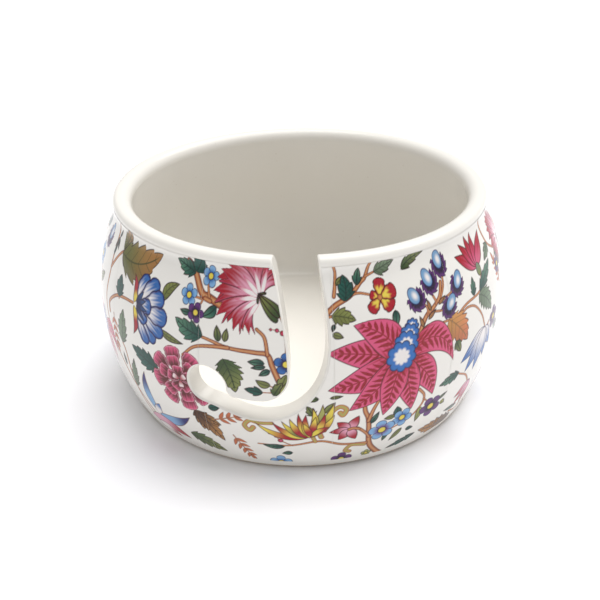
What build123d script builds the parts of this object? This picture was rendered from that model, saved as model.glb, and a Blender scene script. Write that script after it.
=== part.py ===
from build123d import *
from math import cos, degrees, radians, sin, tan
import os

# A glazed ceramic yarn bowl. It is built up as the real one is: a fired clay body, a glaze coat
# over everything except the ring it stands on, and printed transfer films round the outside.
# Millimetres. The origin is on the table under the centre of the bowl, +Z is up, and -Y is the
# front, where the yarn slot is.

# ---- overall shape, to the outside of the glaze ----
height = 80.0
belly_radius = 77.5
belly_height = 35.5
base_radius = 69.3          # where the rounding of the foot would meet the table
neck_radius = 70.45
neck_drop = 7.3             # from the lip's widest place down to the neck
lip_edge_radius = 69.1      # to the lip's widest place
lip_width = 6.7             # across the lip
lip_outer_round = 2.0
lip_inner_round = 3.8
lip_outer_wrap = 20.0       # degrees that the outer round runs on below its widest place
lip_inner_wrap = 9.0        # degrees that the inner round runs on below its narrowest place
wall_lean = 26.0            # degrees, the outside wall's slope just above the foot

# ---- inside ----
wall = 6.5
floor_height = 8.5          # the inside floor above the table
inner_corner = 7.0
inner_lean = 22.0           # degrees, the inside wall's slope where it meets the corner

# ---- foot ring ----
foot_recess = 2.5
foot_ring_width = 6.0
foot_round = 1.6

# ---- yarn slot: a channel down from the lip, a hook to the left, and a round eye at its end ----
# Sideways places are measured round the belly from the front, and heights from the table.
slot_mouth = 15.9           # width at the lip
slot_width = 12.4           # width of the channel
slot_centre = 2.05          # the channel's middle, to the right of the front
slot_lean = 4.3             # how far the mouth's middle sits to the left of the channel's
mouth_slant = 1.4           # how the sides slant at the lip, as a share of their slant on the whole
outer_bend = 54.0           # height where the channel's right side begins to turn
inner_bend = 44.0           # height where its left side begins to turn
hook_side = -14.5           # where the hook runs level
hook_floor = 25.7           # lowest place of the hook
hook_width = 7.6
eye_radius = 6.8
eye_side = -32.4
eye_height = 37.0
eye_start = -20.0           # degrees, where the hook's upper edge runs into the eye
eye_end = 263.0             # degrees, where its lower edge runs out of the eye
cusp_round = 2.4
slot_edge_round = 0.6
cutter_reach = 12.0         # how far the cutter stands clear of the wall

# ---- glaze and transfer films ----
glaze = 0.25
dry_foot = 1.2              # bare clay this far up from the table
film = 0.05
film_lift = 0.02            # kept between the film and the glaze
film_setback = 0.1          # bare glaze between the print and the slot's rounded edge
film_bottom = 4.2
film_top = 77.2
film_count = 11
film_gap = 0.1
seam_past_eye = 2.0         # a seam runs down through the eye, this far to the left of its middle


def wall_section(shrink):
    """Half of the bowl's section, drawn from the axis, with every face moved in by shrink.

    Only the face that it stands on stays where it is, because no glaze goes there.
    """
    outer_round = lip_outer_round - shrink
    outer_wrap = radians(lip_outer_wrap)
    inner_wrap = radians(lip_inner_wrap)
    widest = height - lip_outer_round
    lip_x = lip_edge_radius - lip_outer_round + outer_round * cos(outer_wrap)
    lip_z = widest - outer_round * sin(outer_wrap)
    foot = foot_round - shrink
    corner = inner_corner + shrink
    corner_rise = corner * (1 - sin(radians(inner_lean)))
    floor = floor_height - shrink
    foot_inner = base_radius - foot_ring_width + shrink
    with BuildSketch(Plane.XZ) as section:
        with BuildLine():
            foot_arc = JernArc((base_radius - foot_round, 0), (1, 0), foot, 90 - wall_lean)
            outside = Spline(
                foot_arc @ 1,
                (belly_radius - shrink, belly_height),
                (neck_radius - shrink, widest - neck_drop),
                (lip_x, lip_z),
                tangents=[foot_arc % 1, (sin(outer_wrap), cos(outer_wrap))],
            )
            lip_outside = JernArc(outside @ 1, outside % 1, outer_round, 90 + lip_outer_wrap)
            lip_top = Line(lip_outside @ 1, (lip_edge_radius - lip_width + lip_inner_round, height - shrink))
            lip_inside = JernArc(lip_top @ 1, (-1, 0), lip_inner_round - shrink, 90 + lip_inner_wrap)
            inside = Spline(
                lip_inside @ 1,
                (belly_radius - wall + shrink, belly_height),
                (base_radius - wall + foot_round + shrink, floor + corner_rise),
                tangents=[(sin(inner_wrap), -cos(inner_wrap)), (-sin(radians(inner_lean)), -cos(radians(inner_lean)))],
            )
            corner_arc = JernArc(inside @ 1, inside % 1, corner, inner_lean - 90)
            Polyline(
                corner_arc @ 1,
                (0, floor),
                (0, foot_recess + shrink),
                (foot_inner, foot_recess + shrink),
                (foot_inner, 0),
                foot_arc @ 0,
            )
        make_face()
    return section.sketch


def slot_outline(distance, grow):
    """The slot as a flat cutter has it at a distance in front of the axis, widened by grow.

    The slot is cut square to the wall, towards the axis, so a place round the belly becomes an
    angle from the front, and the outline is drawn wider the further it stands from the axis.
    """

    def at(side, up):
        return (distance * tan(side / belly_radius), up)

    hook_x = at(hook_side, 0)[0]
    top = height + cutter_reach
    mouth_left = slot_centre - slot_lean - slot_mouth / 2 - grow
    mouth_right = slot_centre - slot_lean + slot_mouth / 2 + grow
    left_side = slot_centre - slot_width / 2 - grow
    right_side = slot_centre + slot_width / 2 + grow
    left_slant = mouth_slant * (left_side - mouth_left) / (height - inner_bend)
    right_slant = mouth_slant * (right_side - mouth_right) / (height - outer_bend)
    hook_low = hook_floor - grow
    hook_top = hook_floor + hook_width + grow
    eye = eye_radius + grow
    eye_wide = eye * distance / belly_radius / cos(eye_side / belly_radius) ** 2
    with BuildSketch(Plane.XZ.offset(distance)) as outline:
        with BuildLine():
            eye_arc = EllipticalCenterArc(
                at(eye_side, eye_height), eye_wide, eye, eye_start, arc_size=eye_end - eye_start
            )
            low_edge = Spline(eye_arc @ 1, at(hook_side, hook_low), tangents=[eye_arc % 1, (1, 0)])
            outer_arc = EllipticalCenterArc(
                (hook_x, outer_bend), at(right_side, 0)[0] - hook_x, outer_bend - hook_low, 270, arc_size=90
            )
            right_edge = Spline(
                outer_arc @ 1,
                at(mouth_right, height),
                at(mouth_right - right_slant * cutter_reach, top),
                tangents=[(0, 1), (-right_slant, 1)],
            )
            top_edge = Line(right_edge @ 1, at(mouth_left - left_slant * cutter_reach, top))
            Spline(
                top_edge @ 1,
                at(mouth_left, height),
                at(left_side, inner_bend),
                tangents=[(left_slant, -1), (0, -1)],
            )
            inner_arc = EllipticalCenterArc(
                (hook_x, inner_bend), at(left_side, 0)[0] - hook_x, inner_bend - hook_top, 0, arc_size=-90
            )
            Spline(inner_arc @ 1, eye_arc @ 0, tangents=[(-1, 0), (-1, 0.25)])
        make_face()
        tongue_tip = outline.vertices().sort_by_distance(eye_arc @ 0)[0]
        fillet(tongue_tip, cusp_round)
    return outline.sketch


def slot_cutter(grow):
    """The wedge that the cutting of the slot takes away, from inside the bowl to clear of it."""
    with BuildPart() as cutter:
        add(slot_outline(belly_radius + cutter_reach, grow))
        add(slot_outline(belly_radius / 2, grow))
        loft(ruled=True)
    return cutter.part


def is_rim_of_cut(edge):
    """True for an edge where the slot meets the wall or the lip, and not for one through the wall."""
    middle = edge @ 0.5
    outward = Vector(middle.X, middle.Y, 0).normalized()
    on_front = outward.get_angle(Vector(0, -1, 0)) < 90 and middle.Z > hook_floor - slot_edge_round
    return on_front and edge.geom_type == GeomType.BSPLINE and abs((edge % 0.5).dot(outward)) < 0.8


def bowl_shape(shrink):
    """The whole bowl with its faces moved in by shrink: none for the glazed bowl, glaze for its clay."""
    with BuildPart() as bowl:
        add(wall_section(shrink))
        revolve(axis=Axis.Z)
        add(slot_cutter(shrink), mode=Mode.SUBTRACT)
        fillet([edge for edge in bowl.edges() if is_rim_of_cut(edge)], slot_edge_round - shrink)
    return bowl.part


def film_section():
    """The thin strip of section that a transfer film fills, on the outside of the glaze."""
    with BuildSketch(Plane.XZ) as strip:
        add(wall_section(-film_lift - film))
        add(wall_section(-film_lift), mode=Mode.SUBTRACT)
        with Locations((belly_radius, (film_bottom + film_top) / 2)):
            Rectangle(belly_radius, film_top - film_bottom, mode=Mode.INTERSECT)
    return strip.sketch.faces().sort_by(Axis.X)[-1]


# ---- the clay body, fired once before it is glazed ----
with BuildPart() as clay_body:
    add(bowl_shape(glaze))
clay_body.part.label = "clay_body"

# ---- the glaze: a closed skin over the clay, wiped off the ring that the bowl stands on ----
with BuildPart() as glaze_skin:
    add(bowl_shape(0))
    add(clay_body.part, mode=Mode.SUBTRACT)
    with BuildSketch(Plane.XY):
        Circle(belly_radius)
    extrude(amount=dry_foot, mode=Mode.SUBTRACT)
recess_coat, main_coat = glaze_skin.solids().sort_by(SortBy.VOLUME)

with BuildPart() as glaze_coat:
    add(main_coat)
glaze_coat.part.label = "glaze_coat"

with BuildPart() as underside_glaze:
    add(recess_coat)
underside_glaze.part.label = "underside_glaze"

# ---- the transfer films: gores of print laid side by side round the wall, trimmed at the slot ----
gore_angle = 360 / film_count
gap_angle = degrees(film_gap / belly_radius)
eye_seam = degrees((eye_side - seam_past_eye) / belly_radius)
strip = film_section()
trim = slot_cutter(slot_edge_round + film_setback)
films = []
for number in range(film_count):
    left_seam = eye_seam - gore_angle * number
    with BuildPart() as gore:
        add(strip.rotate(Axis.Z, left_seam - 90 + gap_angle / 2))
        revolve(axis=Axis.Z, revolution_arc=gore_angle - gap_angle)
        add(trim, mode=Mode.SUBTRACT)
    films += gore.solids().sort_by(Axis.Z)

pieces = [clay_body, glaze_coat, underside_glaze]
whole_gores = 0
for film_solid in films:
    with BuildPart() as transfer:
        add(film_solid)
    if film_solid.bounding_box().min.Z > hook_floor:
        transfer.part.label = "transfer_tongue"     # the slot parts it from the rest of its gore
    else:
        whole_gores += 1
        transfer.part.label = f"transfer_{whole_gores:02d}"
    pieces.append(transfer)

os.makedirs("parts", exist_ok=True)
for piece in pieces:
    export_step(piece.part, f"parts/{piece.part.label}.step")
    print(piece.part.label, round(piece.part.volume, 1), "mm3", len(piece.solids()), "solid")
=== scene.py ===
# %% [markdown]
# A glazed yarn bowl with a printed floral transfer. The CAD part gives every solid in its true place: the clay
# body, the glaze coat, the glaze under the foot and the transfer films. Here it gets its finishes, its print, a
# floor, light and a camera. Lengths are in metres, except where a name or a comment says millimetres.

# %% Load the CAD part as the fixed frame
from math import cos, pi, radians, sin

import bpy
import numpy as np
from mathutils import Matrix, Vector


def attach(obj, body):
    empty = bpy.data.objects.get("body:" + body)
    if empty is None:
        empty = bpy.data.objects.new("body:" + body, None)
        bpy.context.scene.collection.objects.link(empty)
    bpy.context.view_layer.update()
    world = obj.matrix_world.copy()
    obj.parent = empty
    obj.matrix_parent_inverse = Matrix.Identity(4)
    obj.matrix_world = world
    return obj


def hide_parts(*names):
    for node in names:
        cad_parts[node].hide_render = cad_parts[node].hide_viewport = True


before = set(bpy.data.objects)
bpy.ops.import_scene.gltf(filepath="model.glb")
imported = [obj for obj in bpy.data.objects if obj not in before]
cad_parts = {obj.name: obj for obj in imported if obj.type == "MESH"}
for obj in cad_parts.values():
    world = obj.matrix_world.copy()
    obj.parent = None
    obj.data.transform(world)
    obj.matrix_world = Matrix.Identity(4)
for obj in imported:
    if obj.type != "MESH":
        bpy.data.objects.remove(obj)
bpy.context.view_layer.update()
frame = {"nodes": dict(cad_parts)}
nodes = frame["nodes"]
scene = bpy.context.scene
scene.view_settings.view_transform = "Standard"
print("CAD nodes:", sorted(nodes))

# %% [markdown]
# The camera looks down at the bowl from the front, from hand's reach, so that the rim shows as an oval and the
# inside wall can be seen. A camera could be aimed with a constraint, but writing its three directions out keeps
# the small roll of the view exact.

# %% Camera
view_target = Vector((-0.00053, 0.0, 0.02875))
view_distance = 0.3247
view_elevation = radians(28.63)
view_roll = radians(0.9)

across = Vector((1, 0, 0))
upward = Vector((0, sin(view_elevation), cos(view_elevation)))
backward = Vector((0, -cos(view_elevation), sin(view_elevation)))
camera_right = across * cos(view_roll) - upward * sin(view_roll)
camera_up = across * sin(view_roll) + upward * cos(view_roll)
camera = bpy.data.objects.new("camera", bpy.data.cameras.new("camera"))
scene.collection.objects.link(camera)
camera.data.lens = 48.0
camera.data.sensor_width = 36.0
camera.data.clip_start = 0.01
turn = Matrix((camera_right, camera_up, backward)).transposed().to_4x4()
camera.matrix_world = Matrix.Translation(view_target + backward * view_distance) @ turn
scene.camera = camera
print("camera at", [round(c, 3) for c in camera.matrix_world.translation])

# %% [markdown]
# Shader maths reads best as sums, so a small class wraps a socket and turns +, - and * into Math nodes. The
# other nodes all come from one method, which sets a node's settings first and then the values or links of its
# sockets.

# %% Helpers for shader nodes
class Value:
    """A shader socket that holds a number, with arithmetic."""

    def __init__(self, nodes, socket):
        self.nodes = nodes
        self.socket = socket

    def math(self, operation, *others, **settings):
        values = {i: other for i, other in enumerate((self, *others))}
        return self.nodes.add("ShaderNodeMath", dict(operation=operation, **settings), values)

    def __add__(self, other): return self.math("ADD", other)
    def __radd__(self, other): return self.math("ADD", other)
    def __sub__(self, other): return self.math("SUBTRACT", other)
    def __rsub__(self, other): return self.nodes.add("ShaderNodeMath", dict(operation="SUBTRACT"),
                 {0: other, 1: self})
    def __mul__(self, other): return self.math("MULTIPLY", other)
    def __rmul__(self, other): return self.math("MULTIPLY", other)
    def clamp(self): return self.math("MULTIPLY", 1.0, use_clamp=True)


class Finish:
    """A material and the nodes that it is made of."""

    def __init__(self, name):
        self.material = bpy.data.materials.new(name)
        self.material.use_nodes = True
        self.tree = self.material.node_tree
        self.tree.nodes.clear()
        self.shader = self.tree.nodes.new("ShaderNodeBsdfPrincipled")
        output = self.tree.nodes.new("ShaderNodeOutputMaterial")
        self.tree.links.new(self.shader.outputs[0], output.inputs["Surface"])

    def put(self, node, sockets):
        for key, value in sockets.items():
            if isinstance(value, Value):
                self.tree.links.new(value.socket, node.inputs[key])
            else:
                node.inputs[key].default_value = value

    def add(self, kind, settings=None, sockets=None, output=0):
        node = self.tree.nodes.new(kind)
        for key, value in (settings or {}).items():
            if key == "stops":
                while len(node.color_ramp.elements) < len(value):
                    node.color_ramp.elements.new(0.5)
                for element, (position, colour) in zip(node.color_ramp.elements, value):
                    element.position = position
                    element.color = colour
            else:
                setattr(node, key, value)
        self.put(node, sockets or {})
        return Value(self, node.outputs[output])

    def place(self, output="Object"):
        return self.add("ShaderNodeTexCoord", output=output)

    def noise(self, scale, detail=2.0, roughness=0.5, output=0):
        sockets = {"Vector": self.place(), "Scale": scale, "Detail": detail, "Roughness": roughness}
        return self.add("ShaderNodeTexNoise", None, sockets, output)

    def mix(self, factor, first, second):
        return self.add("ShaderNodeMix", {"data_type": "RGBA"}, {0: factor, 6: first, 7: second}, 2)

    def bump(self, height, distance, strength=1.0):
        return self.add("ShaderNodeBump", None, {"Height": height, "Distance": distance, "Strength": strength})


def rgba(red, green, blue):
    """A linear colour from the 0 to 255 values that a screen shows."""
    screen = np.array([red, green, blue]) / 255
    linear = np.where(screen <= 0.04045, screen / 12.92, ((screen + 0.055) / 1.055) ** 2.4)
    return (*linear.tolist(), 1.0)


# %% [markdown]
# The glaze is a glossy, warm white glass melted over the clay. It is nearly smooth, but a real glaze coat is
# never quite even: it has a faint orange-peel and tiny specks, so a weak bump and a slight change of tint keep
# it from looking like plastic.

# %% Glaze, over the lip, the inside, the slot's cut edge and the foot
glaze_colour = rgba(232, 229, 223)


def glossy(finish):
    """The settings that every glazed surface here shares."""
    finish.put(finish.shader, {"IOR": 1.32})


white_glaze = Finish("white_glaze")
glossy(white_glaze)
peel = white_glaze.noise(260.0, 2.0)
cloud = white_glaze.noise(22.0, 3.0)
specks = ((white_glaze.noise(900.0, 1.0) - 0.74) * 9.0).clamp()
tinted = white_glaze.mix(cloud, glaze_colour, rgba(228, 224, 216))
white_glaze.put(white_glaze.shader, {
    "Base Color": white_glaze.mix(specks * 0.35, tinted, rgba(176, 160, 138)),
    "Roughness": cloud * 0.08 + 0.1,
    "Normal": white_glaze.bump(peel, 0.00004, 0.35),
})
for name in ("glaze_coat", "underside_glaze"):
    nodes[name].data.materials.clear()
    nodes[name].data.materials.append(white_glaze.material)
print("glazed:", "glaze_coat", "underside_glaze")

# %% [markdown]
# The bowl stands on a ring of bare fired clay, wiped clean so that the glaze doesn't stick it to the kiln
# shelf. Bare clay is matt, buff and slightly gritty. Its buff is partly the clay's own colour and partly
# painted shade: it is kept dark, and patches of noise darken it further, for the thin dark line where the
# foot meets the table. Fine noise gives the grit, and coarser noise the uneven firing.

# %% Fired clay, bare on the foot ring
fired_clay = Finish("fired_clay")
grit = fired_clay.noise(1800.0, 2.0)
firing = fired_clay.noise(60.0, 3.0)
# Painted shade: random patches of noise darken the bare clay towards brown, for the dark line at the foot.
painted_shade_patches = ((fired_clay.noise(320.0, 3.0) - 0.45) * 3.0).clamp()
# The two buffs are the clay's own colour, set dark in part as painted shade for that same line.
clay_tint = fired_clay.mix(firing, rgba(186, 168, 144), rgba(168, 148, 124))
fired_clay.put(fired_clay.shader, {
    "Base Color": fired_clay.mix(painted_shade_patches * 0.5, clay_tint, rgba(132, 112, 92)),
    "Roughness": grit * 0.2 + 0.7,
    "Normal": fired_clay.bump(grit, 0.0001, 0.6),
})
nodes["clay_body"].data.materials.clear()
nodes["clay_body"].data.materials.append(fired_clay.material)
print("bare clay:", "clay_body")

# %% [markdown]
# The print is a set of transfer films: a decal is printed flat in ceramic ink, floated off its paper in water
# and smoothed round the wall, one upright gore beside the next. A picture could be wrapped round the wall
# instead, but drawing the print with numpy keeps it sharp however near one looks. The drawing is one flat sheet
# that goes half-way round the bowl and joins up with itself, so it is used twice. It is kept as a table of
# colours, one for each place: sideways round the belly, and up from the table, in millimetres.

# %% The flat sheet that the print is drawn on
belly_radius = 77.5
film_bottom, film_top = 4.2, 77.2
gore_count = 11
gore_columns, gore_rows = 200, 329
gore_angle = 2 * pi / gore_count
first_angle = -34.4 / belly_radius
column_width = gore_angle * belly_radius / gore_columns
row_height = (film_top - film_bottom) / gore_rows
sheet_columns = gore_columns * gore_count // 2
sheet_left = first_angle * belly_radius
glaze_ink = np.array(glaze_colour[:3])
sheet = np.tile(glaze_ink, (gore_rows + 1, sheet_columns, 1))
print("the sheet has", sheet.shape[0], "rows and", sheet.shape[1], "columns,", round(column_width, 3),
      "mm apart")


def near(side, up, reach):
    """The rows and columns within reach of a place, and how far each lies from it sideways and up, in mm."""
    first = int((side - reach - sheet_left) // column_width)
    columns = np.arange(first, first + int(2 * reach / column_width) + 2)
    lowest = max(0, int((up - reach - film_bottom) / row_height))
    rows = np.arange(lowest, max(lowest, min(gore_rows + 1, int((up + reach - film_bottom) / row_height) + 2)))
    across, above = np.meshgrid(sheet_left + columns * column_width - side,
                                film_bottom + rows * row_height - up)
    return (rows[:, None], columns[None, :] % sheet_columns), across, above


def lay(where, cover, colour):
    """Ink of a colour over the sheet: each place moves towards the colour by its cover, from 0 to 1."""
    sheet[where] += cover[..., None] * (colour - sheet[where])


def inside(distance, blur=0.2):
    """1 inside a shape, 0 outside, and a straight slope of that width across its edge."""
    return np.clip(distance / blur + 0.5, 0, 1)


def ramp(value, start, end):
    """0 before start, 1 after end, and a smooth step between, three times the square less twice the cube."""
    t = np.clip((value - start) / (end - start), 0, 1)
    return t * t * (3 - 2 * t)


def blend(first, second, share):
    """A colour that goes from the first to the second as share goes from 0 to 1."""
    return first + (second - first) * share[..., None]


def ink(red, green, blue):
    """A printed colour, deeper than the screen colour, because the glaze's gloss adds white light over it."""
    gloss_light = 0.016
    return np.clip(np.array(rgba(red, green, blue)[:3]) - gloss_light, 0.002, 0.9) * 0.95


# %% [markdown]
# Nearly all of the print is made of two strokes. One is a blade, for leaves and petals: a width that changes
# along a bent midline, with a colour that runs from root to tip, a darker rim, a fine outline and veins. The
# other is a stem, a line of changing width through a few points. They follow the way that such a print is
# drawn: flat colour first, then shading, then the dark line.

# %% The two strokes
outline_brown = ink(52, 24, 30)


def blade(side, up, turn, length, width, root, tip, bend=0.0, form="leaf", teeth=0, depth=0.25, rim=None,
          rim_width=0.8, line=outline_brown, line_width=0.38, rib=None, veins=0.0, vein_width=0.3,
          fade=(0.1, 0.9), side_light=0.0, notch=0, brush=0.0):
    """A leaf or petal from its root at (side, up), towards turn degrees, 0 being right and 90 up.

    Along is 0 at the root and 1 at the tip. The midline bows aside by bend * length * 4 * along * (1 -
    along), and half the width is width / 2 times the form's own curve. Teeth cut a saw into both edges, and
    notch cuts that many teeth into a broad end. Brush breaks the colour's run into streaks, which reach that
    much further or less far along the petal.
    """
    where, across, above = near(side, up, length * (1.05 + abs(bend)) + width * 0.5)
    angle = radians(turn)
    along = (across * cos(angle) + above * sin(angle)) / length
    inner = np.clip(along, 0, 1)
    off = above * cos(angle) - across * sin(angle) - bend * length * 4 * along * (1 - along)
    if form == "leaf":
        curve = np.sin(pi * inner ** 0.72) ** 0.85
    elif form == "petal":
        curve = 1.25 * inner ** 0.7 * np.sqrt(1 - inner ** 3)
    elif form == "oval":
        curve = np.sqrt(1 - (2 * inner - 1) ** 2)
    else:
        curve = inner ** 0.75
    half = width / 2 * curve
    if teeth and form in ("leaf", "oval"):
        half = half * (1 - depth + depth * (inner * teeth % 1)) / (1 - depth * 0.4)
    elif teeth:
        half = half * (1 - depth * (1 - np.abs(np.sin(pi * teeth * inner))))
    end = 1.0
    if notch:
        place = off / width * notch
        end = 1 - depth * np.abs((place + 0.25) % 1 - 0.5) * 2 - 0.25 * np.abs(off / width) ** 1.5
    within = np.minimum(np.minimum(half - np.abs(off), (end - along) * length), along * length + 0.3)
    streak = brush * (np.abs(off / 0.9 % 2 - 1) + np.abs((off + along * 2) / 0.55 % 2 - 1) - 1)
    colour = blend(root, tip, ramp(along + streak, *fade))
    if rim is not None:
        colour = blend(colour, rim, 1 - ramp(within, rim_width * 0.25, rim_width))
    if side_light:
        colour = colour * (1 + side_light * np.clip(off / (width * 0.3), -1, 1))[..., None]
    if veins:
        wave = (along * length - np.abs(off) * 0.9) / veins % 1
        reach = np.clip(np.abs(off) / np.maximum(half * 0.8, 0.2), 0, 1)
        taper = np.sin(pi * reach ** 0.7) if vein_width > 0.6 else ramp(1 - reach, 0, 0.2)
        stroke = inside(vein_width / 2 * taper - np.abs(wave - 0.5) * veins) * (taper > 0.05)
        colour = blend(colour, line if rib is None else rib, stroke * ramp(1 - along, 0.02, 0.15))
    if rib is not None:
        colour = blend(colour, rib, inside(0.22 - np.abs(off)) * ramp(1 - along, 0.02, 0.2))
    if line_width:
        colour = blend(colour, line, 1 - inside(within - line_width))
    lay(where, inside(within), colour)


def smooth_path(points, spacing=0.25):
    """Places along a Catmull-Rom curve: between two points it leaves each along the line that joins that
    point's neighbours.
    """
    points = np.array(points, float)
    padded = np.vstack([2 * points[0] - points[1], points, 2 * points[-1] - points[-2]])
    gaps = np.linalg.norm(np.diff(points, axis=0), axis=1)
    counts = np.maximum((gaps / spacing).astype(int), 2)
    piece = np.repeat(np.arange(len(gaps)), counts)
    t = (np.arange(counts.sum()) - np.repeat(np.cumsum(counts) - counts, counts)) / np.repeat(counts, counts)
    p0, p1, p2, p3 = (padded[piece + i] for i in range(4))
    t = t[:, None]
    path = 0.5 * (2 * p1 + (p2 - p0) * t + (2 * p0 - 5 * p1 + 4 * p2 - p3) * t ** 2
                  + (3 * p1 - p0 - 3 * p2 + p3) * t ** 3)
    return np.vstack([path, points[-1]])


def stem(points, width, end_width=None, colour=ink(164, 94, 62), line=ink(82, 38, 30),
         light=ink(204, 148, 100)):
    """A line through the points: each place takes the nearest place of the path, and its ink where that is less
    than half a width.
    """
    path = smooth_path(points)
    widths = np.linspace(width, width if end_width is None else end_width, len(path))
    middle = (path.max(0) + path.min(0)) / 2
    reach = float(np.max(path.max(0) - path.min(0)) / 2 + width)
    where, across, above = near(*middle, reach)
    gaps = np.hypot(across[..., None] - (path[:, 0] - middle[0]), above[..., None] - (path[:, 1] - middle[1]))
    nearest = gaps.argmin(-1)
    gap = np.take_along_axis(gaps, nearest[..., None], -1)[..., 0]
    half = widths[nearest] / 2
    shade = blend(light, colour, ramp(gap / np.maximum(half, 0.1), 0.1, 0.6))
    shade = blend(shade, line, ramp(gap / np.maximum(half, 0.1), 0.62, 0.9))
    lay(where, inside(half - gap), shade)


print("strokes: blade, stem")

# %% [markdown]
# The inks come first, then the flowers. Each flower is a few blades round a heart: a five-petalled one is drawn
# at once from a circle whose radius rises and falls five times, a carnation is a fan of notched petals, and a
# berry is an oval in a ragged cup.

# %% Inks and small flowers
pine, teal, moss = ink(34, 78, 70), ink(84, 128, 104), ink(66, 86, 52)
olive, sage, straw = ink(124, 130, 74), ink(112, 132, 104), ink(168, 168, 96)
crimson, rose, blush = ink(168, 10, 50), ink(206, 84, 122), ink(228, 166, 188)
wine, cream, lemon = ink(84, 6, 28), ink(238, 232, 230), ink(228, 206, 84)
navy, azure, sky = ink(36, 36, 92), ink(54, 104, 170), ink(128, 172, 214)
plum, violet, rust = ink(48, 22, 58), ink(98, 54, 116), ink(184, 104, 70)
tan, bark = ink(196, 140, 80), ink(84, 54, 38)


def leaf(side, up, turn, length, width, tone="teal", bend=0.0, teeth=0, depth=0.3, **more):
    """A leaf in one of the greens: its colours, with a dark rib, thin veins and one side lighter than the
    other.
    """
    tones = {"teal": (pine, teal), "pine": (pine, pine * 1.25), "olive": (olive * 0.85, olive * 1.1),
             "moss": (moss, olive), "sage": (sage * 0.8, sage * 1.05), "brown": (bark * 1.1, tan * 0.8),
             "ochre": (tan, rust * 1.15), "straw": (straw, olive),
             "umber": (olive * 0.62 + bark * 0.2, tan * 0.7)}
    root, tip = tones[tone]
    settings = dict(rib=root * 0.45, veins=length / 5.5 if length > 7 else 0.0, vein_width=0.28,
                    side_light=0.16)
    settings.update(more)
    blade(side, up, turn, length, width, root, tip, bend, teeth=teeth, depth=depth, **settings)


def small_flower(side, up, radius, turn=90, outer=sky, inner=azure, lobes=5, heart=lemon, squash=1.0):
    """A flat flower: its edge is a circle whose radius swells once for each petal, with a dark line between
    petals.
    """
    where, across, above = near(side, up, radius * 1.2 / min(squash, 1))
    across = across / squash
    away = np.hypot(across, above)
    swell = np.abs(np.cos((np.arctan2(above, across) - radians(turn)) * lobes / 2))
    within = radius * (0.62 + 0.38 * swell ** 0.6) - away
    colour = blend(inner, outer, ramp(away / radius, 0.25, 0.75))
    colour = blend(colour, inner * 0.55, inside(0.22 - np.abs(swell) * radius * 0.28) * ramp(away / radius, 0.2,
                   0.4))
    colour = blend(colour, navy * 0.6, 1 - inside(within - 0.28))
    lay(where, inside(within), colour)
    lay(where, inside(radius * 0.34 - away), np.broadcast_to(plum, across.shape + (3,)))
    lay(where, inside(radius * 0.25 - away), np.broadcast_to(heart, across.shape + (3,)))


def petals(side, up, turns, lengths, widths, root, tip, offset=0.0, **more):
    """Petals round a place: one for each turn, their roots a little way out from it."""
    for turn, length, width in zip(turns, lengths, widths):
        blade(side + offset * cos(radians(turn)), up + offset * sin(radians(turn)), turn, length, width, root,
              tip, **more)


def ball(side, up, radius, tall=1.0, turn=0, edge=azure, middle=cream, line=navy):
    """A round berry or bead: an oval, light in the middle and darker to its edge."""
    where, across, above = near(side, up, radius * max(tall, 1) * 1.2)
    angle = radians(turn)
    sideways, along = across * cos(angle) + above * sin(angle), above * cos(angle) - across * sin(angle)
    away = np.hypot(sideways, along / tall)
    glint = np.hypot(sideways - radius * 0.15, (along + radius * 0.1) / tall)
    colour = blend(middle, edge, ramp(glint / radius, 0.1, 0.75))
    colour = blend(colour, line, ramp(away, radius - 0.35, radius - 0.1))
    lay(where, inside(radius - away), colour)


def scallops(side, up, radius, lobes=9, turn=0, edge=azure, middle=cream):
    """A flat rosette: a circle whose edge swells a little once for each lobe, white in the middle and outlined
    in navy.
    """
    where, across, above = near(side, up, radius * 1.15)
    away = np.hypot(across, above)
    swell = np.abs(np.cos((np.arctan2(above, across) - radians(turn)) * lobes / 2))
    within = radius * (0.8 + 0.2 * swell ** 0.6) - away
    colour = blend(middle, edge * 1.2, ramp(away / radius - 0.12 * swell, 0.32, 0.5))
    colour = blend(colour, edge * 0.8, 1 - ramp(within, 0.3, 1.1))
    colour = blend(colour, navy * 0.7, 1 - inside(within - 0.34))
    lay(where, inside(within), colour)


def berry(side, up, turn, size=1.0):
    """A pale blue berry whose tip points towards turn, in a purple cup: a circle with a saw edge, a little
    behind it.
    """
    angle = radians(turn)
    back = (side - 0.9 * size * cos(angle), up - 0.9 * size * sin(angle))
    where, across, above = near(*back, 5.6 * size)
    away = np.hypot(across, above)
    around = (np.arctan2(above, across) - angle) / (2 * pi)
    edge = (3.5 + 0.75 * (around * 11 % 1) + 0.25 * np.cos(around * 4 * pi)) * size
    colour = blend(plum, violet, ramp(away / edge, 0.55, 0.9))
    colour = blend(colour, plum * 0.6, 1 - inside(edge - away - 0.3))
    open_front = np.abs((around + 0.5) % 1 - 0.5) > 0.07 + 0.05 * (away > 3 * size)
    lay(where, inside(edge - away) * open_front, colour)
    ball(side + 0.7 * size * cos(angle), up + 0.7 * size * sin(angle), 2.05 * size, 1.5, turn - 90, sky * 0.8,
         cream, navy)


print("inks: 20, with leaf, small_flower, petals, ball, scallops and berry")

# %% [markdown]
# The large flowers are built up from the back to the front, so each stroke hides the roots of those under it.
# They could be cut from one outline each, but separate petals give the overlaps and the dark lines between them
# for nothing.

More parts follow.
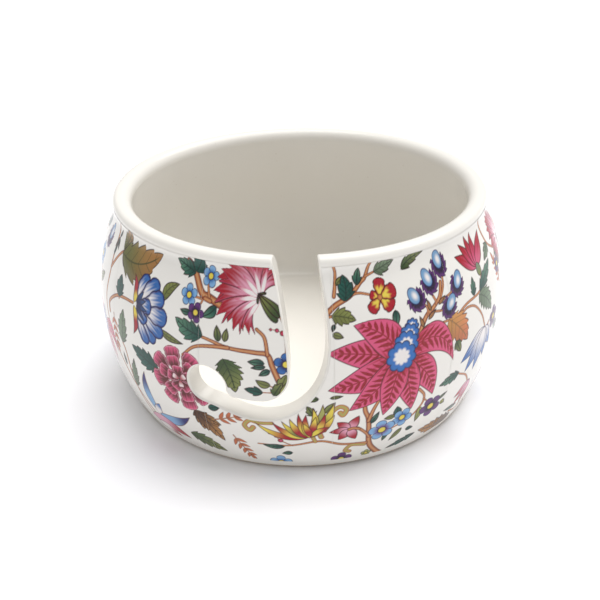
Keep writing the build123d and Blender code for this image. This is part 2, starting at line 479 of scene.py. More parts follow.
# %% Large flowers
def carnation(side, up, turn, size=1.0):
    """A fan of notched rose petals, streaked white from the heart and crimson at the edge, over a green calyx
    behind it.
    """
    for aside, length, width, bend in ((114, 12, 6.5, -0.2), (-104, 9.5, 6, 0.25), (90, 14, 8.5, -0.18),
                                       (-70, 10.5, 7, 0.2), (64, 16.5, 10, -0.16), (-40, 12, 8.5, 0.14),
                                       (38, 17, 11, -0.12), (-12, 13.5, 9.5, 0.06), (14, 16.5, 11, -0.06)):
        blade(side, up, turn + aside, length * size, width * size, blush, crimson * 0.95, bend, form="fan",
              notch=3, depth=0.2, line=wine * 0.9, fade=(0.25, 0.82), rim=rose * 0.8, rim_width=0.8,
              line_width=0.32, brush=0.14)
    petals(side, up, [turn + aside for aside in (100, 76, 50, 26, 2, -28, -60)], [9 * size] * 7,
           [1.5 * size] * 7, cream, rose, fade=(0.5, 1.0), line=rose, line_width=0.12)
    back = (side + 1.5 * size * cos(radians(turn)), up + 1.5 * size * sin(radians(turn)))
    for aside, length, width in ((172, 10.5, 3.6), (188, 10.5, 3.8), (180, 10, 2.6), (135, 3, 1.2),
                                 (225, 3, 1.2)):
        blade(*back, turn + aside, length * size, width * size, olive, moss * 0.8, form="petal",
              side_light=-0.15)


def peony(side, up, turn, size=1.0):
    """A round flower of overlapped petals, the outer ones first, each crimson at its root and pale at its
    scalloped edge.
    """
    for ring, count, length, width in ((4.4, 8, 7.2, 8.6), (2.4, 6, 6.2, 7.6), (0.4, 5, 4.8, 6.2)):
        for i in range(count):
            aside = turn + (i + ring / 5) * 360 / count
            blade(side + ring * size * cos(radians(aside)), up + ring * size * sin(radians(aside)) * 1.05,
                  aside, length * size, width * size, wine * 1.2, rose * 1.1, form="petal", teeth=3, depth=0.12,
                  rim=blush, rim_width=0.85 * size, line=crimson * 0.5, fade=(0.4, 1.0), line_width=0.36,
                  brush=0.16)
    for aside in (20, 140, 260):
        blade(side, up, turn + aside, 3.2 * size, 3.4 * size, crimson, cream, form="petal", rim=rose, line=wine)


def lotus(side, up, turn, size=1.0):
    """A wide flower: pale pink petals with crimson feathering, and a cone of blue scallops that leans towards
    turn.
    """
    for aside, length, width, bend in ((168, 25.5, 11, -0.04), (198, 26, 11, 0.05), (306, 24.5, 10.5, 0.12),
                                       (224, 24.5, 10.5, 0.06), (284, 23.5, 10, 0.02), (256, 22.5, 10, 0.0),
                                       (140, 21, 11.5, -0.14), (338, 24.5, 11, 0.34)):
        blade(side, up, aside, length * size, width * size, crimson, rose * 1.12, bend, line=wine,
              rib=crimson * 0.75, veins=2.4 * size, vein_width=1.6 * size, line_width=0.34, fade=(0.05, 0.5),
              brush=0.14)
    for step, radius in ((10.4, 2.9), (7.6, 4.0), (4.4, 4.9), (0.2, 5.7)):
        scallops(side + step * size * cos(radians(turn)), up + step * size * sin(radians(turn)), radius * size,
                 9, turn + step * 9)


def lily(side, up, turn, size=1.0):
    """A large blue flower seen from the side: pale petals with deep blue tips, and red and yellow sepals that
    curl from its root.
    """
    blade(side - size, up, turn + 98, 10 * size, 3.4 * size, lemon, crimson, -0.16, fade=(0.2, 0.5), line=wine)
    blade(side - size, up - size, turn - 94, 11 * size, 3.6 * size, lemon, crimson, 0.18, fade=(0.2, 0.5),
          line=wine)
    for aside, along, length, width, bend in ((60, 2, 10.5, 6.5, 0.1), (38, 3, 12.5, 8, 0.05),
            (-50, 2, 14, 7.5, 0.06), (18, 4.5, 11.5, 8.5, 0.02), (-64, 3, 12, 6.5, -0.04), (-30, 3, 14, 8, 0.0),
            (-6, 4.5, 12.5, 9.5, -0.04), (4, 1, 8, 8, 0.0), (-40, 0.5, 8, 6.5, -0.08)):
        angle = radians(turn + aside)
        blade(side + along * size * cos(angle), up + along * size * sin(angle), turn + aside, length * size,
              width * size, cream, azure, bend, form="petal", teeth=3, depth=0.12, rim=navy * 1.6,
              rim_width=1.2, line=navy * 0.5, fade=(0.25, 0.8), line_width=0.42, brush=0.16)
    petals(side, up, (turn + 50, turn + 20, turn - 12, turn - 45), (6, 5.5, 6, 6.5), (2.2, 2.2, 2.2, 2.2),
           navy * 0.7, azure * 0.6, offset=0.5, line=navy * 0.5)


def pansy(side, up, turn, size=1.0):
    """Five round crimson petals with ragged yellow hearts."""
    for aside, length, width in ((75, 5.6, 6.0), (150, 3.8, 4.0), (215, 5.6, 5.6), (-50, 6.0, 6.4),
                                 (5, 6.4, 6.4)):
        blade(side, up, turn + aside, length * size, width * size, lemon, crimson, form="petal", teeth=3,
              depth=0.12, rim=crimson, rim_width=1.1, line=wine, fade=(0.4, 0.65), brush=0.1)
    ball(side, up, 1.0 * size, 1.0, 0, rust, tan, bark)


def fern(side, up, turn, length, pairs=4, leaflet=4.2, tone=rust):
    """A stem with pairs of small narrow leaves, shorter towards its tip, and one more at the tip."""
    for i in range(pairs):
        reach = length * (i + 0.6) / pairs
        spot = (side + reach * cos(radians(turn)), up + reach * sin(radians(turn)))
        for aside in (42, -42):
            blade(*spot, turn + aside, leaflet * (1 - 0.1 * i), 1.5, tone, tone * 1.25, line=tone * 0.4,
                  line_width=0.2)
    stem([(side, up), (side + length * cos(radians(turn)), up + length * sin(radians(turn)))], 0.6, 0.4,
         tone * 0.7)
    blade(side + length * cos(radians(turn)), up + length * sin(radians(turn)), turn, leaflet, 1.6, tone,
          tone * 1.25, line_width=0.2)


print("flowers: carnation, peony, lotus, lily, pansy, and a fern")

# %% [markdown]
# The drawing is laid out as the flowers grow: the stems first, so that the leaves and flowers lie over them,
# then the leaves, the small flowers and the large ones. Places are in millimetres, sideways from the bowl's
# front and up from the table. The left of the front holds the lily and the peony, the tongue inside the slot
# holds the carnation, and the right holds the lotus.

# %% Stems
for points, width, end in (
    (((-87, 76), (-85, 62), (-87, 50), (-84, 40), (-78, 32), (-69, 20), (-60, 8), (-56, 2)), 1.1, 0.7),
    (((-85, 62), (-80, 68), (-75, 71)), 1.4, 1.0),
    (((-83, 46), (-83, 50), (-77, 54.5), (-71, 56), (-65, 56.5)), 1.5, 1.1),
    (((-74.5, 54.5), (-75, 58)), 0.8, 0.6), (((-73, 38), (-71, 34), (-69, 19), (-64, 8)), 0.9, 0.7),
    (((-41, 76), (-38, 72.5), (-34.5, 67.5), (-31.5, 66.5), (-27.5, 65)), 2.2, 2.6),
    (((-32.5, 70), (-31.5, 66.5)), 0.8, 1.2), (((-37, 66), (-34, 65.5), (-34.5, 64)), 0.9, 0.7),
    (((-33, 66), (-31, 65.5)), 1.6, 1.6),
    (((-33, 54), (-29.5, 53.3), (-24, 52), (-15, 51.5), (-11, 51), (-9.5, 47), (-7, 40.5)), 1.1, 2.2),
    (((-24, 52), (-30, 51.5), (-36, 50), (-40.5, 46)), 1.6, 1.0),
    (((-14.5, 59), (-12, 56.5), (-11, 51)), 1.2, 1.4),
    (((-6.8, 63), (-5.5, 60), (-5, 54), (-4.8, 46)), 0.9, 1.2),
    (((-10.5, 59.3), (-8, 59), (-6, 58), (-5.5, 56)), 0.3, 0.3), (((-9, 37.5), (-13, 37.3)), 0.5, 0.4),
    (((-8, 39), (-10.5, 40)), 0.6, 0.5), (((-7, 36), (-10.5, 34.5)), 0.5, 0.4),
    (((10.8, 77.5), (11.5, 75), (11.2, 71.5), (10.6, 68.5)), 1.0, 1.4),
    (((5, 61), (7.5, 63.3), (11, 66), (16, 68.2), (20, 71.5), (22, 73), (24, 77.5)), 2.0, 1.2),
    (((22, 73), (25.5, 74)), 0.9, 0.7), (((16, 68.2), (19, 68.7), (23, 67.8)), 0.9, 0.8),
    (((5, 61.5), (7.5, 62.5), (10, 63)), 1.3, 0.9),
    (((38, 48), (40.5, 54), (43, 57.5), (46.5, 59.5), (49.5, 62), (51, 66)), 2.2, 1.4),
    (((46, 64), (47.5, 61), (47.5, 60)), 0.9, 1.0), (((52.5, 69), (52, 65), (50, 61.5)), 0.9, 1.0),
    (((57, 62), (53, 61), (50, 60.5)), 0.8, 1.0), (((41, 62), (43.5, 60), (43.5, 57.5)), 0.9, 1.0),
    (((51, 57), (48, 57.5), (46, 58)), 0.8, 1.0), (((43.5, 50), (44.5, 51.5), (47, 53), (52.5, 53)), 1.1, 0.9),
    (((74.5, 62), (73.5, 59), (71, 56), (62, 55), (55, 52)), 0.9, 1.2),
    (((60, 53), (63, 53.7), (67.5, 52.3), (72, 47.5), (75, 41.5)), 1.0, 0.8),
    (((20, 33), (20.5, 28), (22, 23.5), (23.5, 12), (27, 6), (31, 2)), 1.6, 2.6),
    (((26, 33), (23.5, 28), (22, 23)), 1.1, 1.8), (((16, 21), (18.5, 20.5), (21.5, 17.5), (23, 15)), 1.4, 1.2),
    (((-16, 14), (-5, 14), (5.5, 16), (13.5, 13.3), (22.5, 12)), 0.7, 1.4),
    (((30, 16), (38, 19), (42.5, 23.5), (43, 27.5), (40.5, 31)), 0.7, 1.2), (((43, 26), (45, 24)), 0.8, 0.6),
    (((-12, 20), (-9.5, 18.5), (-8, 16.5), (-4, 14)), 0.4, 0.6),
    (((60, 29), (66, 25), (70, 17), (69, 8)), 0.8, 1.0),
    (((62, 10), (69, 8), (78, 12), (88, 22), (96, 26)), 1.0, 1.6),
    (((88, 22), (92, 34), (100, 42), (104, 52)), 1.8, 1.2), (((100, 42), (112, 36), (118, 28)), 1.2, 0.9),
    (((92, 34), (84, 40)), 1.0, 0.7), (((104, 52), (112, 58), (122, 60), (130, 66)), 1.4, 0.9),
    (((130, 8), (126, 22), (131, 34), (142, 42), (150, 40)), 2.2, 1.2),
    (((131, 34), (126, 44), (128, 52)), 1.3, 0.8), (((142, 42), (146, 52), (143, 60)), 1.1, 0.8),
    (((126, 22), (116, 16), (106, 14)), 1.2, 0.8), (((84, 76), (86, 68), (92, 64)), 1.2, 0.9),
):
    stem(points, width, end)
for points in (((7, 21), (8, 25), (9.5, 29.5), (12, 31.2), (14, 29.8), (13, 27.5), (12, 28.6)),
               ((-10.5, 24.6), (-15, 24.4), (-18, 25), (-20, 22.5), (-18.4, 20.4), (-17, 22)),
               ((22, 11), (17, 12), (15, 9.5), (16.5, 8.5)), ((4, 15.8), (3, 19), (5, 20), (6, 18)),
               ((97, 26), (104, 27), (106, 22), (102, 20.5), (101.5, 23))):
    stem(points, 1.5, 2.0, tan, rust * 0.5, straw)
for side, up, radius in ((-10, 59.2, 0.5), (-8, 59, 0.7), (-6.2, 58.2, 0.9), (-11.6, 19.9, 0.6),
                         (-9.4, 18.6, 0.8), (-8, 16.5, 1.0)):
    ball(side, up, radius, 1.0, 0, crimson, rose, wine)
print("stems laid")

# %% [markdown]
# Leaves come next. Each is one blade with a rib and veins, so a row of numbers is all that tells one from
# another, and a single loop lays them all.

# %% Leaves: where each is rooted, which way it points, its length and width, its green, its bow and its teeth
for side, up, turn, length, width, tone, bend, teeth in (
    (-38, 72.5, 160, 9, 5.5, "teal", 0.0, 4), (-38, 72.8, 62, 6.5, 6, "pine", 0.0, 3),
    (-38, 61, 178, 4.2, 2.4, "teal", 0.1, 0), (-28.5, 64.3, 216, 6.5, 3.6, "teal", 0.1, 0),
    (-33, 54.2, 160, 11.5, 7, "teal", 0.08, 4), (-27.3, 53.5, 98, 5.4, 2.8, "moss", 0.0, 0),
    (-25.2, 53.8, 80, 4.6, 2.4, "olive", 0.0, 0), (-50, 62, 44, 9, 4, "olive", 0.15, 0),
    (-50.3, 52, 348, 10.5, 2.8, "olive", -0.06, 0), (-73, 38, 82, 14, 6.5, "sage", 0.0, 5),
    (-52, 36.5, 164, 14.5, 8, "pine", 0.04, 5), (-69, 21, 78, 14, 4.5, "sage", 0.0, 4),
    (-73, 28.5, 98, 5.5, 1.8, "pine", 0.0, 0), (-74.8, 55, 88, 8, 6, "pine", 0.0, 3),
    (-85.5, 66, 82, 5, 1.8, "pine", 0.0, 0), (-85, 72, 60, 3.6, 1.4, "teal", 0.0, 0),
    (-85, 72, 300, 4.4, 1.5, "teal", 0.0, 0), (-85, 72, 245, 4, 1.4, "brown", 0.0, 0),
    (-25.7, 48, 288, 12.5, 9, "moss", 0.05, 6), (-12, 48, 178, 5.6, 2.9, "teal", 0.0, 0),
    (-11.7, 46.9, 190, 5, 2, "teal", 0.0, 0), (-10.3, 45.8, 212, 4.4, 2.4, "teal", 0.0, 0),
    (-10.3, 40, 158, 5.2, 3, "olive", 0.1, 0), (-12.8, 37.2, 172, 6.2, 3.6, "pine", 0.0, 2),
    (-7.5, 38, 70, 7, 4.5, "olive", 0.0, 3), (-9.5, 36.3, 60, 6, 4, "moss", 0.0, 3),
    (-6, 35, 80, 7, 4, "straw", 0.0, 0), (-32.5, 27, 22, 5, 3, "pine", 0.0, 0),
    (-44, 10.5, 342, 15.5, 6.5, "moss", 0.04, 5), (-6.7, 13.3, 176, 8, 2.8, "teal", 0.06, 0),
    (-4, 10, 190, 4, 2.4, "teal", 0.0, 0), (11.5, 71.5, 40, 4, 2.2, "olive", 0.0, 0),
    (14.2, 66.8, 92, 7.6, 6, "pine", -0.1, 3), (18.6, 70.8, 78, 5.4, 3.4, "teal", 0.0, 2),
    (9.5, 63, 346, 8.2, 5.5, "olive", 0.05, 4), (25.3, 73.9, 20, 8.2, 4.8, "sage", 0.0, 3),
    (31.2, 62, 265, 6, 3, "teal", 0.05, 0), (35.8, 73, 22, 10.5, 4.2, "moss", 0.08, 3),
    (71.5, 56, 32, 14, 5.5, "teal", 0.0, 4), (67.5, 56, 88, 6.6, 3.6, "teal", 0.0, 3),
    (70.8, 55.2, 316, 14, 8, "sage", 0.1, 6), (74.8, 41.5, 266, 8, 4.5, "sage", 0.0, 3),
    (23, 21.5, 62, 5.6, 2.4, "teal", 0.0, 0), (33, 22.3, 100, 4.4, 3.4, "pine", 0.0, 0),
    (32, 22.4, 182, 4.4, 2.4, "olive", 0.0, 0), (42.3, 22.5, 262, 7, 3.2, "straw", 0.05, 0),
    (38, 13.5, 350, 3.5, 2.4, "pine", 0.0, 0), (36, 15, 232, 7, 2.6, "olive", 0.0, 0),
    (29.8, 14.5, 256, 4, 2.2, "teal", 0.0, 0), (50.5, 22, 20, 5, 1.8, "sage", 0.0, 0),
    (52.5, 20.5, 320, 3, 2.4, "straw", 0.0, 0), (60, 29.5, 186, 10.5, 4.6, "teal", 0.0, 4),
    (66, 11.5, 172, 9, 2.6, "teal", 0.0, 0), (65, 6, 171, 20, 8.5, "brown", 0.05, 7),
    (44, 8.5, 196, 13, 3.4, "pine", 0.0, 3), (9.5, 57.5, 338, 4, 2.4, "olive", 0.0, 0),
    (10.3, 60.5, 250, 2.6, 1.6, "pine", 0.0, 0), (8.5, 35, 5, 4.5, 1.6, "olive", 0.0, 0),
    (5, 35, 180, 5, 2.4, "moss", 0.0, 0), (7, 29, 52, 5.4, 3, "olive", 0.0, 0),
    (3.5, 28, 120, 5, 3.4, "moss", 0.0, 3), (-78.3, 70, 62, 9.5, 7, "umber", 0.0, 2),
    (-78.3, 69.5, 345, 13, 8, "umber", 0.1, 3), (-78, 69, 14, 25, 12.5, "umber", -0.12, 5),
    (52.5, 53.2, 312, 15, 10.5, "ochre", 0.05, 6), (56, 44, 300, 6, 4, "moss", 0.0, 2),
    (47, 64, 120, 3.6, 1.6, "ochre", 0.0, 0), (45, 58.5, 108, 4.4, 1.6, "ochre", 0.0, 0),
    (41.5, 54, 110, 4.4, 1.6, "ochre", 0.0, 0), (43.5, 56, 34, 4.6, 1.6, "ochre", 0.0, 0),
    (48.5, 59.5, 30, 4.2, 1.6, "ochre", 0.0, 0), (39.5, 51.5, 40, 5, 1.7, "ochre", 0.0, 0),
    (-38, 24.5, 282, 9, 5.5, "brown", 0.08, 3), (-38.2, 24.4, 308, 15.5, 7, "brown", 0.04, 5),
    (-37, 23.5, 338, 9, 4.5, "brown", 0.0, 3), (92, 34, 150, 9, 4.4, "teal", 0.05, 3),
    (89, 26, 20, 8, 4, "moss", 0.0, 3), (100, 43, 330, 8, 4, "olive", 0.0, 0),
    (104, 52, 80, 10, 6.5, "teal", 0.0, 5), (118, 60, 255, 9, 5, "sage", 0.05, 4),
    (122, 60, 75, 9, 4.5, "pine", 0.0, 4), (127, 24, 160, 10, 6, "moss", 0.0, 5),
    (129, 30, 20, 9, 4.5, "teal", 0.0, 3), (126, 44, 160, 9, 5, "olive", 0.0, 4),
    (146, 52, 40, 8, 3.6, "olive", 0.05, 0), (116, 16, 130, 8, 4, "teal", 0.0, 3),
    (112, 15, 250, 8, 4, "pine", 0.0, 0), (86, 68, 210, 8, 4, "sage", 0.0, 3),
    (92, 64, 300, 9, 5.5, "moss", 0.05, 4), (142, 42, 270, 9, 5, "teal", 0.0, 4),
    (78, 12, 240, 8, 4, "olive", 0.0, 3), (83, 16, 350, 8, 3.4, "teal", 0.0, 0),
    (136, 10, 20, 12, 6, "brown", 0.06, 5), (96, 8, 12, 12, 5, "moss", 0.0, 5),
    (140, 72, 200, 9, 4.5, "teal", 0.0, 3), (112, 74, 330, 9, 4.4, "olive", 0.0, 3),
):
    leaf(side, up, turn, length, width, tone, bend, teeth)
print("leaves laid")

# %% [markdown]
# Ferns, loose petals, small flowers and berries fill the gaps between the large flowers. They overlap the
# leaves a little, as they do where several colours are printed one after another.

# %% Ferns, scrolls and small flowers
for side, up, turn, length, pairs in ((-30.5, 22.5, 22, 9, 3), (-24.8, 16.4, 298, 11, 4), (-79, 47, 275, 12, 4),
                                      (94, 50, 118, 12, 4), (148, 18, 100, 12, 4), (72, 30, 60, 10, 3)):
    fern(side, up, turn, length, pairs)
for side, up, turn, length, width, root, tip, bend in (
    (1.5, 18, 160, 19, 3, crimson, lemon, 0.12), (1.5, 18, 149, 14, 3, lemon, crimson, 0.12),
    (1.5, 18, 138, 12, 2.6, olive, lemon, 0.1), (1.5, 18, 124, 11, 3, crimson, lemon, 0.1),
    (2, 18, 108, 12, 2.6, lemon, crimson, 0.08), (2, 18, 62, 17, 3.8, moss, lemon, -0.08),
    (2, 18, 74, 15.5, 3.6, olive, straw, -0.08), (2, 18, 86, 13.5, 3.2, moss, lemon, -0.1),
    (2, 18, 96, 11, 2.8, lemon, crimson, 0.08), (2.5, 19, 50, 12, 3, crimson, lemon, -0.1),
    (2.5, 19, 66, 11, 2.8, lemon, crimson, -0.1), (2.5, 19, 80, 9, 2.8, crimson, lemon, 0.0),
    (2.5, 18.5, 34, 7.5, 2.4, lemon, crimson, 0.1), (2.5, 18.5, 112, 7, 2.6, crimson, lemon, 0.0),
    (-59, 13.5, 95, 18.5, 4.6, sky, navy * 1.6, 0.12), (-59, 13, 20, 18.5, 4.8, sky, navy * 1.6, -0.14),
    (-60, 13, 60, 7, 4, cream, azure, 0.0), (-66, 9, 352, 21, 6, blush, crimson, 0.08),
    (-64, 6, 347, 15, 4.4, cream, crimson, 0.1), (108, 66, 350, 9, 3.4, lemon, crimson, 0.15),
):
    blade(side, up, turn, length, width, root, tip, bend, fade=(0.35, 0.8), line=wine, line_width=0.3)
for side, up, radius, turn, outer, inner, squash in (
    (-32, 72.5, 3.5, 80, sky, azure, 0.95), (-39.2, 66, 3.5, 95, sky, azure, 0.95),
    (-36, 61.2, 3.4, 70, violet, plum, 0.95), (-5.2, 48, 4, 90, azure, navy, 1.0),
    (35, 20.5, 4.2, 60, sky, azure, 1.0), (27.7, 17, 4.8, 100, sky, violet * 1.2, 1.1),
    (47.4, 20.5, 4.6, 45, violet, plum, 1.1), (118, 29, 4.6, 90, sky, azure, 1.0),
    (84, 41, 4.4, 90, violet, plum, 1.0), (106, 14, 4.6, 60, sky, azure, 1.0),
    (143, 61, 4.4, 90, sky, azure, 1.0), (92, 58, 3.6, 70, violet, plum, 1.0),
    (134, 54, 3.4, 70, azure, navy, 1.0), (14, 4.2, 4.2, 90, violet, plum, 1.0),
    (-8.5, 3.6, 4.4, 90, sky, azure, 1.0), (23.5, 5.4, 2.2, 90, straw, olive, 1.0),
):
    small_flower(side, up, radius, turn, outer, inner, squash=squash)
petals(15.5, 20.5, (62, 138, 184, 232, 296), (6.6, 6, 7, 6, 6), (4, 4, 3.4, 4, 4), blush, crimson, line=wine,
       form="leaf", fade=(0.1, 0.75))
stem(((15.5, 20.5), (17, 20.8), (19, 20)), 1.6, 1.2)
for side, up, turn in ((52.2, 72, 100), (45.8, 68, 115), (39.2, 64, 125), (59.2, 63.8, 65), (54, 58, 50),
                       (148, 70, 80)):
    berry(side, up, turn)
petals(73, 64.5, (152, 131, 108, 84, 46), (13.5, 12.3, 11.5, 11, 13), (5, 4.2, 4, 4, 4.6), rose, crimson,
       line=wine, fade=(0.1, 0.8), brush=0.16)
blade(73, 65.5, 282, 4.8, 3.4, sage, olive, form="oval")
petals(70.5, 21, (205, 232, 258), (10, 11.5, 10.5), (3.8, 4, 3.8), blush, crimson, line=wine, fade=(0.1, 0.9),
       brush=0.12)
petals(75, 41, (305, 207, 278, 230, 253), (12, 17, 13, 17.5, 16.5), (5.5, 6, 5.5, 6.5, 6.5), cream, azure,
       line=navy, fade=(0.15, 0.8), brush=0.16)
pansy(26.3, 66.6, 10)
pansy(128, 66, 60)
print("small flowers laid")

# %% [markdown]
# The slot cuts a strip out of the print at the front, but the same strip of the sheet is whole at the back. A
# spray of leaves and small flowers fills it there.

# %% The spray that only the back shows
stem(((1, 41), (3.2, 46), (1.5, 57), (-1.5, 69)), 1.5, 0.9)
for side, up, turn, length, width, tone in ((3.8, 43, 62, 6, 3.4, "teal"), (3.2, 47, 128, 7, 3.6, "moss"),
                                            (2.6, 52, 52, 7, 3.8, "pine"), (1.6, 57, 118, 6.5, 3.2, "olive"),
                                            (0.8, 61, 50, 7, 3.6, "teal"), (-1, 67, 118, 5.5, 3, "moss")):
    leaf(side, up, turn, length, width, tone)
small_flower(-2.2, 71.8, 3.7, 80, rose, crimson)
small_flower(0.6, 41.6, 3.3, 70, sky, azure)
print("spray laid")

# %% [markdown]
# The large flowers go on last, because they lie over everything else. Their stems already end where each flower
# has its heart.

# %% The large flowers in their places, each over its own stem
lotus(32.5, 46, 66)
peony(-42.6, 35.8, 20, 1.06)
carnation(-13.5, 68.4, 138)
lily(-63.2, 56.8, 4, 0.95)
carnation(103, 64, 112, 0.8)
lotus(150, 36, 80, 0.62)
peony(112, 46, 50, 0.8)
lily(88, 10, 20, 0.8)
print("large flowers laid")

# %% [markdown]
# Each film now becomes a real surface: a fine grid of places round the wall and up it, a hair outside the
# glaze. Its outline is read from the CAD film that it replaces, so it stops at the seams and at the slot
# exactly where that one does. The grid's colours are the sheet's, kept as a colour attribute. Cutting the grid
# by the slot with a Boolean would also do, but it leaves ragged slivers.

# %% The shape of the wall, and the border of each film
def mesh_arrays(node):
    """A CAD node's corners in mm, its triangles, with equal corners merged, and each triangle's normal."""
    mesh = nodes[node].data
    mesh.calc_loop_triangles()
    places = np.empty(len(mesh.vertices) * 3, np.float32)
    mesh.vertices.foreach_get("co", places)
    triangles = np.empty(len(mesh.loop_triangles) * 3, np.int32)
    mesh.loop_triangles.foreach_get("vertices", triangles)
    places = places.reshape(-1, 3).astype(float) * 1000
    merged, index = np.unique(np.round(places, 3), axis=0, return_inverse=True)
    triangles = index.reshape(-1)[triangles].reshape(-1, 3)
    a, b, c = (merged[triangles[:, i]] for i in range(3))
    normals = np.cross(b - a, c - a)
    return merged, triangles, normals / np.maximum(np.linalg.norm(normals, axis=1, keepdims=True), 1e-12)


def film_face(node):
    """A film's outer face: its corners sideways round the belly and up, its triangles, and its corners'
    distances from the axis.
    """
    places, triangles, normals = mesh_arrays(node)
    outward = places[triangles].mean(1)
    outward[:, 2] = 0
    outward /= np.linalg.norm(outward, axis=1, keepdims=True)
    faces = triangles[(normals * outward).sum(1) > 0.5]
    away = np.hypot(places[:, 0], places[:, 1])
    middle = places[faces].mean((0, 1))
    centre = np.arctan2(middle[0], -middle[1])
    angle = (np.arctan2(places[:, 0], -places[:, 1]) - centre + pi) % (2 * pi) - pi + centre
    return np.stack([angle * belly_radius, places[:, 2]], 1), faces, away, centre


def wall_curve():
    """The distance from the axis as a polynomial of the height, fitted to the outer corners of every film."""
    heights, distances = [], []
    for node in films:
        flat, faces, away, _ = film_face(node)
        used = np.unique(faces)
        heights.append(flat[used, 1])
        distances.append(away[used])
    heights, distances = np.concatenate(heights), np.concatenate(distances)
    scaled = (heights - 40) / 40
    fit = np.polynomial.polynomial.polyfit(scaled, distances, 12)
    worst = np.abs(np.polynomial.polynomial.polyval(scaled, fit) - distances).max()
    print("the wall's curve fits", len(heights), "corners to", round(worst, 4), "mm")
    return fit


films = sorted(name for name in nodes if name.startswith("transfer"))
wall = wall_curve()


def border_of(node):
    """The edges that belong to one triangle only, as pairs of flat places: the film's outline."""
    flat, faces, _, _ = film_face(node)
    edges = np.sort(faces[:, [0, 1, 1, 2, 2, 0]].reshape(-1, 2), axis=1)
    single, count = np.unique(edges, axis=0, return_counts=True)
    return flat[single[count == 1]]


# %% [markdown]
# A film's mesh is a grid of rows and columns over its gore, cut off at the border and drawn in to it. Each
# corner takes its distance from the axis from the wall's curve, and its colour from the sheet at the same
# place, so the print keeps its size all the way round.

# %% From the sheet to the films
transfer = Finish("floral_transfer")
glossy(transfer)
printed = transfer.add("ShaderNodeVertexColor", {"layer_name": "print"})
transfer_cloud = transfer.noise(22.0, 3.0)
grain = transfer.noise(1500.0, 2.0)
transfer.put(transfer.shader, {
    "Base Color": transfer.mix(grain * 0.05, printed, glaze_colour),
    "Roughness": transfer_cloud * 0.08 + 0.1,
    "Normal": transfer.bump(transfer.noise(260.0, 2.0), 0.00004, 0.35),
})


def within_border(border, sides, ups):
    """Whether each place is inside the border: a line straight up from it crosses the border an odd number of
    times.
    """
    (side0, up0), (side1, up1) = border[:, 0].T, border[:, 1].T
    spans = (side0[None] <= sides[:, None]) != (side1[None] <= sides[:, None])
    step = np.where(np.abs(side1 - side0) < 1e-9, 1.0, side1 - side0)
    crossing = up0 + (sides[:, None] - side0) / step * (up1 - up0)
    crossing = np.where(spans, crossing, -1e9)
    return (crossing[None] > ups[:, None, None]).sum(-1) % 2 == 1


def nearest_on(border, places):
    """The nearest place on the border to each place: the foot of the square line to the nearest edge, kept
    within its ends.
    """
    start, along = border[:, 0], border[:, 1] - border[:, 0]
    share = ((places[:, None] - start) * along).sum(-1) / np.maximum((along ** 2).sum(-1), 1e-12)
    feet = start + np.clip(share, 0, 1)[..., None] * along
    best = ((feet - places[:, None]) ** 2).sum(-1).argmin(1)
    return feet[np.arange(len(places)), best]


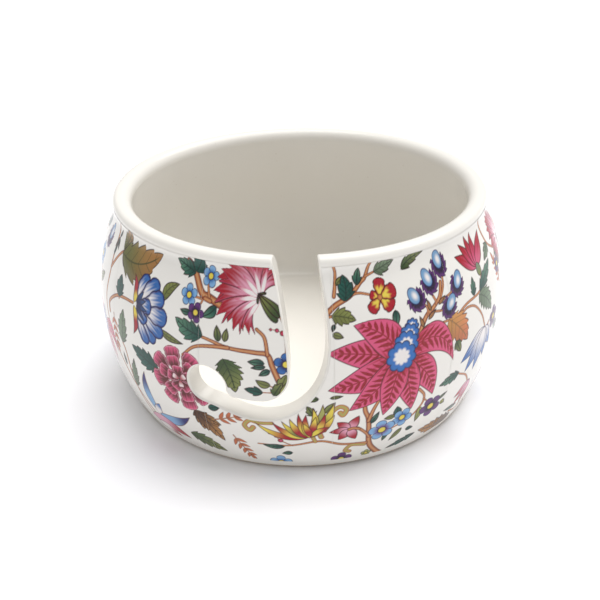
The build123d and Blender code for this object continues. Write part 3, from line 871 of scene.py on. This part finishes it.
def transfer_film(node):
    """The printed film that stands for a CAD film: a grid over its gore, cut and drawn in to its border,
    coloured from the sheet.
    """
    border = border_of(node)
    centre = film_face(node)[3]
    gore = int(np.floor((centre - first_angle) / gore_angle))
    left = (first_angle + gore * gore_angle) * belly_radius
    columns = np.arange(gore_columns + 1)
    sides = np.clip(left + columns * column_width, border[..., 0].min(), border[..., 0].max())
    ups = np.clip(film_bottom + np.arange(gore_rows + 1) * row_height, border[..., 1].min(),
                  border[..., 1].max())
    hold = 0.002
    inner_sides = np.clip(sides, sides[0] + hold, sides[-1] - hold)
    kept = within_border(border, inner_sides, np.clip(ups, ups[0] + hold, ups[-1] - hold))
    index = np.arange(kept.size).reshape(kept.shape)
    quads = np.stack([index[:-1, :-1], index[:-1, 1:], index[1:, 1:], index[1:, :-1]], -1).reshape(-1, 4)
    quads = quads[kept.reshape(-1)[quads].any(1)]
    flat = np.stack(np.broadcast_arrays(sides[None, :], ups[:, None]), -1).reshape(-1, 2)
    used = np.unique(quads)
    outside = used[~kept.reshape(-1)[used]]
    if len(outside):
        flat[outside] = nearest_on(border, flat[outside])
    away = np.polynomial.polynomial.polyval((flat[:, 1] - 40) / 40, wall)
    angle = flat[:, 0] / belly_radius
    places = np.stack([away * np.sin(angle), -away * np.cos(angle), flat[:, 1]], 1)[used] / 1000
    order = np.full(kept.size, -1)
    order[used] = np.arange(len(used))
    mesh = bpy.data.meshes.new("printed_" + node)
    mesh.from_pydata(places.tolist(), [], order[quads].tolist())
    mesh.shade_smooth()
    colours = np.ones((len(used), 4), np.float32)
    sheet_column = (gore * gore_columns + columns) % sheet_columns
    colours[:, :3] = sheet[:, sheet_column].reshape(-1, 3)[used]
    mesh.color_attributes.new("print", "FLOAT_COLOR", "POINT").data.foreach_set("color", colours.ravel())
    corners = np.empty(len(mesh.loops), np.int32)
    mesh.loops.foreach_get("vertex_index", corners)
    spread = (flat[used] - flat[used].min(0)) / np.ptp(flat[used], axis=0)
    mesh.uv_layers.new(name="OFBake").data.foreach_set("uv",
                       (0.01 + 0.98 * spread[corners]).astype(np.float32).ravel())
    mesh.materials.append(transfer.material)
    made = bpy.data.objects.new("printed_" + node, mesh)
    scene.collection.objects.link(made)
    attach(made, "root")
    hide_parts(node)
    return made


# %% [markdown]
# Every CAD film now gets its printed one. The clay and the glaze keep their CAD shapes, because only the films
# need colours of their own.

# %% One film for each CAD film
for node in films:
    film = transfer_film(node)
    print(film.name, "has", len(film.data.polygons), "faces")

# %% [markdown]
# The bowl stands on a large sheet of white paper under a soft light from above and a little behind, which lets
# the front of the wall fall into a pale shade and throws a faint shadow towards the viewer. An area lamp close
# by would do the same, but it lights the paper unevenly, so this light is a sun that is many degrees wide, and
# a white sky fills in the shadows.

# %% Floor, light and sky
def add_mesh(name, places, faces, finish):
    """A mesh object from an array of places and an array of faces."""
    mesh = bpy.data.meshes.new(name)
    mesh.from_pydata(places.tolist(), [], faces.tolist())
    mesh.materials.append(finish.material)
    made = bpy.data.objects.new(name, mesh)
    scene.collection.objects.link(made)
    return made


paper = Finish("white_paper")
paper.put(paper.shader, {"Base Color": rgba(250, 250, 252), "Roughness": 0.9})
side = 3.0
corners = np.array([(-side, -side, 0), (side, -side, 0), (side, side, 0), (-side, side, 0)])
floor = add_mesh("floor", corners, np.array([(0, 1, 2, 3)]), paper)


def soft_sun(name, towards, spread, strength):
    """A light from far away and that many degrees wide, as a large softbox over the table gives, shining along
    towards.
    """
    data = bpy.data.lights.new(name, "SUN")
    data.angle = radians(spread)
    data.energy = strength
    lamp = bpy.data.objects.new(name, data)
    scene.collection.objects.link(lamp)
    lamp.rotation_euler = Vector(towards).to_track_quat("-Z", "Y").to_euler()
    return lamp


soft_sun("key_light", (-0.28, -0.27, -1.0), 58, 2.9)
world = bpy.data.worlds.new("white_sky")
scene.world = world
world.use_nodes = True
world.node_tree.nodes["Background"].inputs["Color"].default_value = (1, 1, 1, 1)
world.node_tree.nodes["Background"].inputs["Strength"].default_value = 0.55
print("floor, light and sky are in place")
